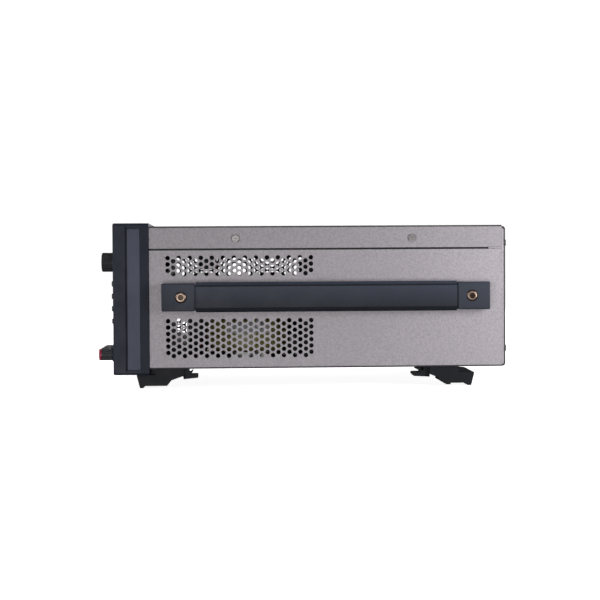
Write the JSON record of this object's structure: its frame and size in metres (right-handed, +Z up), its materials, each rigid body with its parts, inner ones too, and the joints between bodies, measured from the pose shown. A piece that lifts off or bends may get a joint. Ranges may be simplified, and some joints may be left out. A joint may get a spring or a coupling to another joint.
{
  "type": "bench power supply",
  "caption": "Half-rack bench power supply with a folded perforated steel case, moulded front bezel, side strap handle, clip-on wedge feet, keypad, knob and binding posts.",
  "frame": {"origin": "middle of the overall box in X and Y, on the bench plane under the feet", "axes": "-Y the way the front panel faces, +X the operator's right, +Z up"},
  "size_m": [0.223, 0.3631, 0.1453],
  "materials": {
    "bezel_plastic": "fine moulded texture, dark blue grey",
    "case_paint": "warm grey powder coat, fine speckle",
    "rear_paint": "warm grey powder coat",
    "window": "smoked clear lens",
    "lcd": "dark liquid crystal panel",
    "circuit_board": "green solder mask",
    "plated_steel": "zinc plated sheet",
    "knob_rubber": "soft-touch black",
    "key_rubber": "grey keypad rubber",
    "output_rubber": "grey keypad rubber",
    "button_plastic": "satin grey",
    "black_plastic": "black moulded",
    "post_metal": "nickel plated brass",
    "post_red": "black nut with crimson cap",
    "post_black": "black nut and cap",
    "strap_rubber": "dark grey rubber over a spring band",
    "cap_plastic": "dark grey moulded cap",
    "screw_steel": "zinc plated fastener",
    "foot_plastic": "dark grey moulded foot",
    "tape": "yellow polyester tape wrap",
    "capacitor": "dark sleeve with bare aluminium top",
    "sink_aluminium": "black anodised extrusion",
    "wire": "insulated mains wire bundle",
    "socket_metal": "plated shells"
  },
  "bodies": {
    "chassis": {"front_bezel": "bezel_plastic", "display_window": "window", "display_module": "lcd", "front_circuit_board": "circuit_board", "power_switch": "black_plastic", "knob_encoder": "plated_steel", "binding_posts": "post_metal", "lower_case": "case_paint", "top_cover": "case_paint", "front_bulkhead": "plated_steel", "rear_panel": "rear_paint", "data_sockets": "socket_metal", "mains_inlet": "black_plastic", "fan_frame": "black_plastic", "handle_strap": "strap_rubber", "handle_front_cap": "cap_plastic", "handle_rear_cap": "cap_plastic", "handle_screws": "screw_steel", "case_screws": "screw_steel", "front_foot_right": "foot_plastic", "front_foot_left": "foot_plastic", "rear_foot_right": "foot_plastic", "rear_foot_left": "foot_plastic", "tilt_leg_pins": "screw_steel", "toroid_transformer": "tape", "transformer_clamp": "plated_steel", "main_circuit_board": "circuit_board", "board_standoffs": "screw_steel", "filter_capacitors": "capacitor", "plug_in_card": "circuit_board", "heat_sink": "sink_aluminium", "power_transistors": "black_plastic", "wiring_loom": "wire"},
    "number_key_0": {"number_key_0": "key_rubber"},
    "number_key_1": {"number_key_1": "key_rubber"},
    "number_key_2": {"number_key_2": "key_rubber"},
    "number_key_3": {"number_key_3": "key_rubber"},
    "number_key_4": {"number_key_4": "key_rubber"},
    "number_key_5": {"number_key_5": "key_rubber"},
    "number_key_6": {"number_key_6": "key_rubber"},
    "number_key_7": {"number_key_7": "key_rubber"},
    "number_key_8": {"number_key_8": "key_rubber"},
    "number_key_9": {"number_key_9": "key_rubber"},
    "point_key": {"point_key": "key_rubber"},
    "enter_key": {"enter_key": "key_rubber"},
    "left_key": {"left_key": "key_rubber"},
    "right_key": {"right_key": "key_rubber"},
    "function_key_1": {"function_key_1": "key_rubber"},
    "function_key_2": {"function_key_2": "key_rubber"},
    "output_key": {"output_key": "output_rubber"},
    "power_button": {"power_button": "button_plastic"},
    "control_knob": {"control_knob": "knob_rubber"},
    "fan_rotor": {"fan_rotor": "black_plastic"},
    "fuse_drawer": {"fuse_drawer": "black_plastic"},
    "tilt_leg_right": {"tilt_leg_right": "foot_plastic"},
    "tilt_leg_left": {"tilt_leg_left": "foot_plastic"},
    "post_nut_1": {"post_nut_1": "post_red"},
    "post_nut_2": {"post_nut_2": "post_black"},
    "post_nut_3": {"post_nut_3": "post_black"},
    "post_nut_4": {"post_nut_4": "post_red"}
  },
  "joints": [
    {"name": "number_key_0_press", "type": "slide", "parent": "chassis", "child": "number_key_0", "axis": [0, 1, 0], "range_m": [0, 0.001], "stiffness_N_per_m": 600},
    {"name": "number_key_1_press", "type": "slide", "parent": "chassis", "child": "number_key_1", "axis": [0, 1, 0], "range_m": [0, 0.001], "stiffness_N_per_m": 600},
    {"name": "number_key_2_press", "type": "slide", "parent": "chassis", "child": "number_key_2", "axis": [0, 1, 0], "range_m": [0, 0.001], "stiffness_N_per_m": 600},
    {"name": "number_key_3_press", "type": "slide", "parent": "chassis", "child": "number_key_3", "axis": [0, 1, 0], "range_m": [0, 0.001], "stiffness_N_per_m": 600},
    {"name": "number_key_4_press", "type": "slide", "parent": "chassis", "child": "number_key_4", "axis": [0, 1, 0], "range_m": [0, 0.001], "stiffness_N_per_m": 600},
    {"name": "number_key_5_press", "type": "slide", "parent": "chassis", "child": "number_key_5", "axis": [0, 1, 0], "range_m": [0, 0.001], "stiffness_N_per_m": 600},
    {"name": "number_key_6_press", "type": "slide", "parent": "chassis", "child": "number_key_6", "axis": [0, 1, 0], "range_m": [0, 0.001], "stiffness_N_per_m": 600},
    {"name": "number_key_7_press", "type": "slide", "parent": "chassis", "child": "number_key_7", "axis": [0, 1, 0], "range_m": [0, 0.001], "stiffness_N_per_m": 600},
    {"name": "number_key_8_press", "type": "slide", "parent": "chassis", "child": "number_key_8", "axis": [0, 1, 0], "range_m": [0, 0.001], "stiffness_N_per_m": 600},
    {"name": "number_key_9_press", "type": "slide", "parent": "chassis", "child": "number_key_9", "axis": [0, 1, 0], "range_m": [0, 0.001], "stiffness_N_per_m": 600},
    {"name": "point_key_press", "type": "slide", "parent": "chassis", "child": "point_key", "axis": [0, 1, 0], "range_m": [0, 0.001], "stiffness_N_per_m": 600},
    {"name": "enter_key_press", "type": "slide", "parent": "chassis", "child": "enter_key", "axis": [0, 1, 0], "range_m": [0, 0.001], "stiffness_N_per_m": 600},
    {"name": "left_key_press", "type": "slide", "parent": "chassis", "child": "left_key", "axis": [0, 1, 0], "range_m": [0, 0.001], "stiffness_N_per_m": 600},
    {"name": "right_key_press", "type": "slide", "parent": "chassis", "child": "right_key", "axis": [0, 1, 0], "range_m": [0, 0.001], "stiffness_N_per_m": 600},
    {"name": "function_key_1_press", "type": "slide", "parent": "chassis", "child": "function_key_1", "axis": [0, 1, 0], "range_m": [0, 0.001], "stiffness_N_per_m": 600},
    {"name": "function_key_2_press", "type": "slide", "parent": "chassis", "child": "function_key_2", "axis": [0, 1, 0], "range_m": [0, 0.001], "stiffness_N_per_m": 600},
    {"name": "output_key_press", "type": "slide", "parent": "chassis", "child": "output_key", "axis": [0, 1, 0], "range_m": [0, 0.001], "stiffness_N_per_m": 600},
    {"name": "power_button_press", "type": "slide", "parent": "chassis", "child": "power_button", "axis": [0, 1, 0], "range_m": [0, 0.003], "stiffness_N_per_m": 500},
    {"name": "control_knob_turn", "type": "hinge", "parent": "chassis", "child": "control_knob", "pos_m": [0.065, -0.1738, 0.1114], "axis": [0, 1, 0], "continuous": true},
    {"name": "post_nut_1_unscrew", "type": "slide", "parent": "chassis", "child": "post_nut_1", "axis": [0, -1, 0], "range_m": [0, 0.005]},
    {"name": "post_nut_2_unscrew", "type": "slide", "parent": "chassis", "child": "post_nut_2", "axis": [0, -1, 0], "range_m": [0, 0.005]},
    {"name": "post_nut_3_unscrew", "type": "slide", "parent": "chassis", "child": "post_nut_3", "axis": [0, -1, 0], "range_m": [0, 0.005]},
    {"name": "post_nut_4_unscrew", "type": "slide", "parent": "chassis", "child": "post_nut_4", "axis": [0, -1, 0], "range_m": [0, 0.005]},
    {"name": "tilt_leg_right_fold", "type": "hinge", "parent": "chassis", "child": "tilt_leg_right", "pos_m": [0.087, -0.1364, 0.0043], "axis": [-1, 0, 0], "range_deg": [0, 90]},
    {"name": "tilt_leg_left_fold", "type": "hinge", "parent": "chassis", "child": "tilt_leg_left", "pos_m": [-0.097, -0.1364, 0.0043], "axis": [-1, 0, 0], "range_deg": [0, 90]},
    {"name": "fan_spin", "type": "hinge", "parent": "chassis", "child": "fan_rotor", "pos_m": [0.041, 0.1642, 0.0805], "axis": [0, 1, 0], "continuous": true},
    {"name": "fuse_drawer_slide", "type": "slide", "parent": "chassis", "child": "fuse_drawer", "axis": [0, 1, 0], "range_m": [0, 0.016]}
  ]
}
